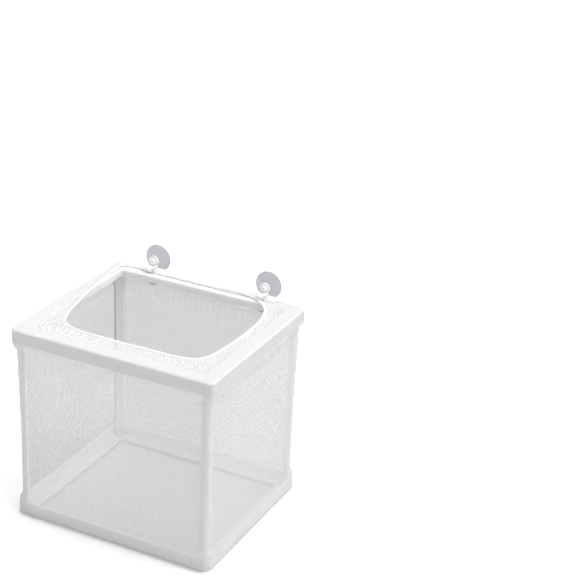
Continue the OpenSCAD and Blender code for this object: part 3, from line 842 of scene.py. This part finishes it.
def make_seams(mat):
    # overlocked roll round the foot of the bag
    line = outer_line(0.61, RC, 1500)
    n = len(line)
    rad = [0.27 + 0.06 * (0.5 + 0.5 * math.sin(2 * math.pi * i / 2.5)) for i in range(n)]
    path = np.column_stack([line, np.full(n, 0.9)])
    v, f, uv = tube_mesh(path, rad, 8, closed=True)
    o = add_mesh("foot_seam", v, f, mat, True, uv)
    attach(o, "box")
    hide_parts("floor_seam")

    # upright seam on the left side, near the rear corner
    zs = np.arange(2.4, SKIRT_Z - 0.6, 0.42)
    verts, uvs = [], []
    rows = len(zs)
    prof = 9
    for i, z in enumerate(zs):
        m = wall_inset(z, 0.0, False) - 0.25
        bump_ = 0.045 * math.sin(2 * math.pi * z / 1.5)
        for j in range(prof):
            t = j / (prof - 1)
            y = 62.0 - 1.8 * t
            h = 0.06 + 0.26 * math.sin(math.pi * t) + bump_ * math.sin(math.pi * t)
            verts.append((-80 + m - h, y, z + 0.25 * math.sin(math.pi * t)))
            uvs.append((z, y))
        verts.append((-80 + m + 0.02, 60.2, z))
        uvs.append((z, 60.0))
        verts.append((-80 + m + 0.02, 62.0, z))
        uvs.append((z, 62.2))
    per = prof + 2
    f = []
    for i in range(rows - 1):
        for j in range(per):
            k = (j + 1) % per
            f.append((i * per + j, (i + 1) * per + j, (i + 1) * per + k, i * per + k))
    f.append(tuple(range(per)))
    f.append(tuple((rows - 1) * per + j for j in range(per))[::-1])
    s = add_mesh("side_seam", verts, f, mat, True, uvs)
    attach(s, "box")
    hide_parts("corner_seam")


# ---------------------------------------------------------------- hangers and cups

def box_bm(bm, x0, x1, y0, y1, z0, z1):
    r = bmesh.ops.create_cube(bm, size=1.0)
    for v in r["verts"]:
        v.co = Vector((x0 + (v.co.x + 0.5) * (x1 - x0), y0 + (v.co.y + 0.5) * (y1 - y0), z0 + (v.co.z + 0.5) * (z1 - z0)))


def ring_bm(bm, centre, r_out, r_in, y0, y1, n=64):
    """Annulus with its axis along Y."""
    cx, cz = centre
    loops = []
    for r, y in ((r_out, y0), (r_out, y1), (r_in, y1), (r_in, y0)):
        loops.append([bm.verts.new((cx + r * math.cos(2 * math.pi * i / n), y, cz + r * math.sin(2 * math.pi * i / n)))
                      for i in range(n)])
    for a in range(4):
        b = (a + 1) % 4
        for i in range(n):
            j = (i + 1) % n
            bm.faces.new((loops[a][i], loops[a][j], loops[b][j], loops[b][i]))


def disc_bm(bm, centre, r, z0, z1, n=48):
    """Disc with its axis along Z."""
    cx, cy = centre
    lo = [bm.verts.new((cx + r * math.cos(2 * math.pi * i / n), cy + r * math.sin(2 * math.pi * i / n), z0)) for i in range(n)]
    hi = [bm.verts.new((v.co.x, v.co.y, z1)) for v in lo]
    bm.faces.new(lo[::-1])
    bm.faces.new(hi)
    for i in range(n):
        j = (i + 1) % n
        bm.faces.new((lo[i], lo[j], hi[j], hi[i]))


def evaluated_copy(o):
    dg = bpy.context.evaluated_depsgraph_get()
    dg.update()
    mesh = bpy.data.meshes.new_from_object(o.evaluated_get(dg))
    old = o.data
    o.modifiers.clear()
    o.data = mesh
    bpy.data.meshes.remove(old)
    return o


def make_hanger(name, node, x, mat, body):
    """Clip over the rear rim with an eye for the cup: one clear moulding with softened edges."""
    bm = bmesh.new()
    y0, t = HD + 0.15, 1.1
    zt, tt, ye = TOP + 2.75, 0.85, HD - 5.5
    w = 3.2
    box_bm(bm, x - w, x + w, y0, y0 + t, SKIRT_Z - 1.7, zt + tt)
    box_bm(bm, x - w, x + w, ye, y0 + t, zt, zt + tt)
    disc_bm(bm, (x, ye), w, zt, zt + tt)
    # the tongue's rounded end is turned down over the hem
    arc = [math.radians(a) for a in np.linspace(206, 334, 33)]
    loops = [[bm.verts.new((x + r * math.cos(a), ye + r * math.sin(a), z)) for a in arc]
             for r, z in ((w, TOP + 1.10), (w, zt + 0.4), (w - 1.0, zt + 0.4), (w - 1.0, TOP + 1.10))]
    for a in range(4):
        b = (a + 1) % 4
        for q in range(len(arc) - 1):
            bm.faces.new((loops[a][q], loops[a][q + 1], loops[b][q + 1], loops[b][q]))
    bm.faces.new([lp[0] for lp in loops])
    bm.faces.new([lp[-1] for lp in loops])
    box_bm(bm, x - w, x + w, HD - 1.0, y0 + t, SKIRT_Z - 1.6, SKIRT_Z - 0.7)
    box_bm(bm, x - w + 0.7, x + w - 0.7, y0, y0 + 1.4, zt + 0.2, CUP_Z - 2.2)
    ring_bm(bm, (x, CUP_Z), 4.1, 1.78, y0, y0 + 1.4)
    bmesh.ops.recalc_face_normals(bm, faces=bm.faces)
    for v in bm.verts:
        v.co *= MM
    mesh = bpy.data.meshes.new(name)
    bm.to_mesh(mesh)
    bm.free()
    o = bpy.data.objects.new(name, mesh)
    scene.collection.objects.link(o)
    rm = o.modifiers.new("fuse", "REMESH")
    rm.mode, rm.voxel_size = "VOXEL", 0.16 * MM
    rm.use_smooth_shade = True
    sm = o.modifiers.new("soften", "SMOOTH")
    sm.factor, sm.iterations = 0.5, 5
    evaluated_copy(o)
    o.name = name
    o.data.name = name
    o.data.materials.clear()
    o.data.materials.append(mat)
    o.data.polygons.foreach_set("use_smooth", [True] * len(o.data.polygons))
    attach(o, body)
    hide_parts(node)
    return o


def make_cup(name, node, x, mat, tip_mat, body):
    """Suction cup: button, neck through the eye, and a dished skirt with stepped rings."""
    y0 = HD + 0.15
    y1 = y0 + 1.4
    R = 10.5
    front = [(0.0, y0 - 1.75), (0.45, y0 - 1.78), (0.62, y0 - 2.15), (0.95, y0 - 2.38), (1.6, y0 - 2.2), (2.2, y0 - 1.85), (2.6, y0 - 1.35), (2.7, y0 - 0.9),
             (2.55, y0 - 0.5), (2.15, y0 - 0.18), (1.75, y0 - 0.12), (1.45, y0 + 0.05), (1.42, y0 + 0.7), (1.45, y1 - 0.05),
             (1.75, y1 + 0.12), (2.4, y1 + 0.18), (2.9, y1 + 0.6), (3.25, y1 + 1.05), (3.9, y1 + 1.45)]
    # the skirt's outer face with raised rings
    for i in range(61):
        r = 4.2 + (R - 4.2) * i / 60
        y = y1 + 1.55 + 3.85 * ((r - 4.2) / (R - 4.2)) ** 1.35
        ring = max(0.0, math.sin((r - 4.6) * 2 * math.pi / 1.25)) ** 2 if 4.6 < r < 9.8 else 0.0
        front.append((r, y - 0.17 * ring))
    rim = [(R + 0.02, y1 + 5.55), (R - 0.06, y1 + 5.66), (R - 0.9, y1 + 5.68)]
    inner = [(R * 0.84, y1 + 4.95), (R * 0.66, y1 + 4.1), (R * 0.5, y1 + 3.6), (R * 0.38, y1 + 3.3), (R * 0.2, y1 + 3.02), (0.0, y1 + 2.95)]
    prof = front + rim + inner
    n = 112
    verts, faces = [], []
    for (r, y) in prof:
        if r < 1e-6:
            verts.append((x, y, CUP_Z))
        else:
            for i in range(n):
                a = 2 * math.pi * i / n
                verts.append((x + r * math.cos(a), y, CUP_Z + r * math.sin(a)))
    # first and last profile points are poles
    first, last = 0, len(verts) - 1

    def vid(row, i):
        return 1 + (row - 1) * n + i % n
    rows = len(prof) - 2
    for i in range(n):
        faces.append((first, vid(1, i), vid(1, i + 1)))
        faces.append((last, vid(rows, i + 1), vid(rows, i)))
    for r_ in range(1, rows):
        for i in range(n):
            faces.append((vid(r_, i), vid(r_ + 1, i), vid(r_ + 1, i + 1), vid(r_, i + 1)))
    o = add_mesh(name, verts, faces, mat, True)
    # the button and neck are thicker, paler vinyl than the thin skirt
    o.data.materials.append(tip_mat)
    for poly in o.data.polygons:
        if poly.center[1] < (y1 + 0.3) * MM and (Vector((poly.center[0] - x * MM, poly.center[2] - CUP_Z * MM)).length < 3.0 * MM):
            poly.material_index = 1
    bm = bmesh.new()
    bm.from_mesh(o.data)
    bmesh.ops.recalc_face_normals(bm, faces=bm.faces)
    bm.to_mesh(o.data)
    bm.free()
    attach(o, body)
    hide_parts(node)
    return o


# ---------------------------------------------------------------- put it together

make_camera()
rim_mat = plastic("rim_plastic", (0.88, 0.878, 0.86), (0.92, 0.917, 0.90))
ring_mat = plastic("ring_plastic", (0.96, 0.958, 0.945), (0.99, 0.988, 0.975))
post_mat = plastic("post_plastic", (0.94, 0.938, 0.925), (0.98, 0.978, 0.965), (0.32, 0.46))
# 'inner' is a painted shade on each net sheet's inner side: strong on the walls (0.27), mild on the floor (0.84) and
# collar (0.90)
net_mat = net_material("net_knit")
floor_net_mat = net_material("net_knit_floor", 0.235, colour=(0.90, 0.905, 0.92), inner=0.84, haze=0.17, glow=0.4)
collar_mat = net_material("net_knit_collar", 0.25, colour=(0.865, 0.865, 0.875), inner=0.90, haze=0.2, glow=0.2)
hem_mat = thread_material("hem_cloth", (0.96, 0.96, 0.965), 0.55, 0.0, 0.4)
yarn_mat = thread_material("sewing_thread", (0.95, 0.95, 0.95))
elastic_mat = thread_material("elastic_cover", (0.78, 0.78, 0.78), 0.7, 1.0, 0.1)
clip_mat = clear_material("clear_plastic", (0.975, 0.975, 1.0), 0.04, 0.18, 1.49)
tip_mat = clear_material("cup_button", (0.97, 0.97, 1.0), 0.04, 0.24, 1.45, 20.0)
cup_mat = clear_material("cup_vinyl", (0.475, 0.485, 0.515), 0.85, 0.14, 1.45, 20.0)

make_tail(yarn_mat)

for node in ("top_rim", "bottom_ring", "front_left_post", "front_right_post", "rear_right_post", "rear_left_post"):
    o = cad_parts[node]
    mat = {"top_rim": rim_mat, "bottom_ring": ring_mat}.get(node, post_mat)
    if len(o.material_slots) == 0:
        o.data.materials.append(mat)
    for s in o.material_slots:
        s.material = mat

make_wall(0, "net_front_panel", "net_front", net_mat)
make_wall(1, "net_right_panel", "net_right", net_mat)
make_wall(2, "net_rear_panel", "net_rear", net_mat)
make_wall(3, "net_left_panel", "net_left", net_mat)
make_floor_net(floor_net_mat)
collar = make_collar(collar_mat)
hem, elastic, stitches, bunch = make_hem(hem_mat, elastic_mat, yarn_mat)
make_seams(yarn_mat)
make_hanger("left_rim_hanger", "left_hanger", LCX, clip_mat, "left_hanger")
make_hanger("right_rim_hanger", "right_hanger", RCX, clip_mat, "right_hanger")
make_cup("left_cup_vinyl", "left_suction_cup", LCX, cup_mat, tip_mat, "left_cup")
make_cup("right_cup_vinyl", "right_suction_cup", RCX, cup_mat, tip_mat, "right_cup")

make_floor()
make_light()
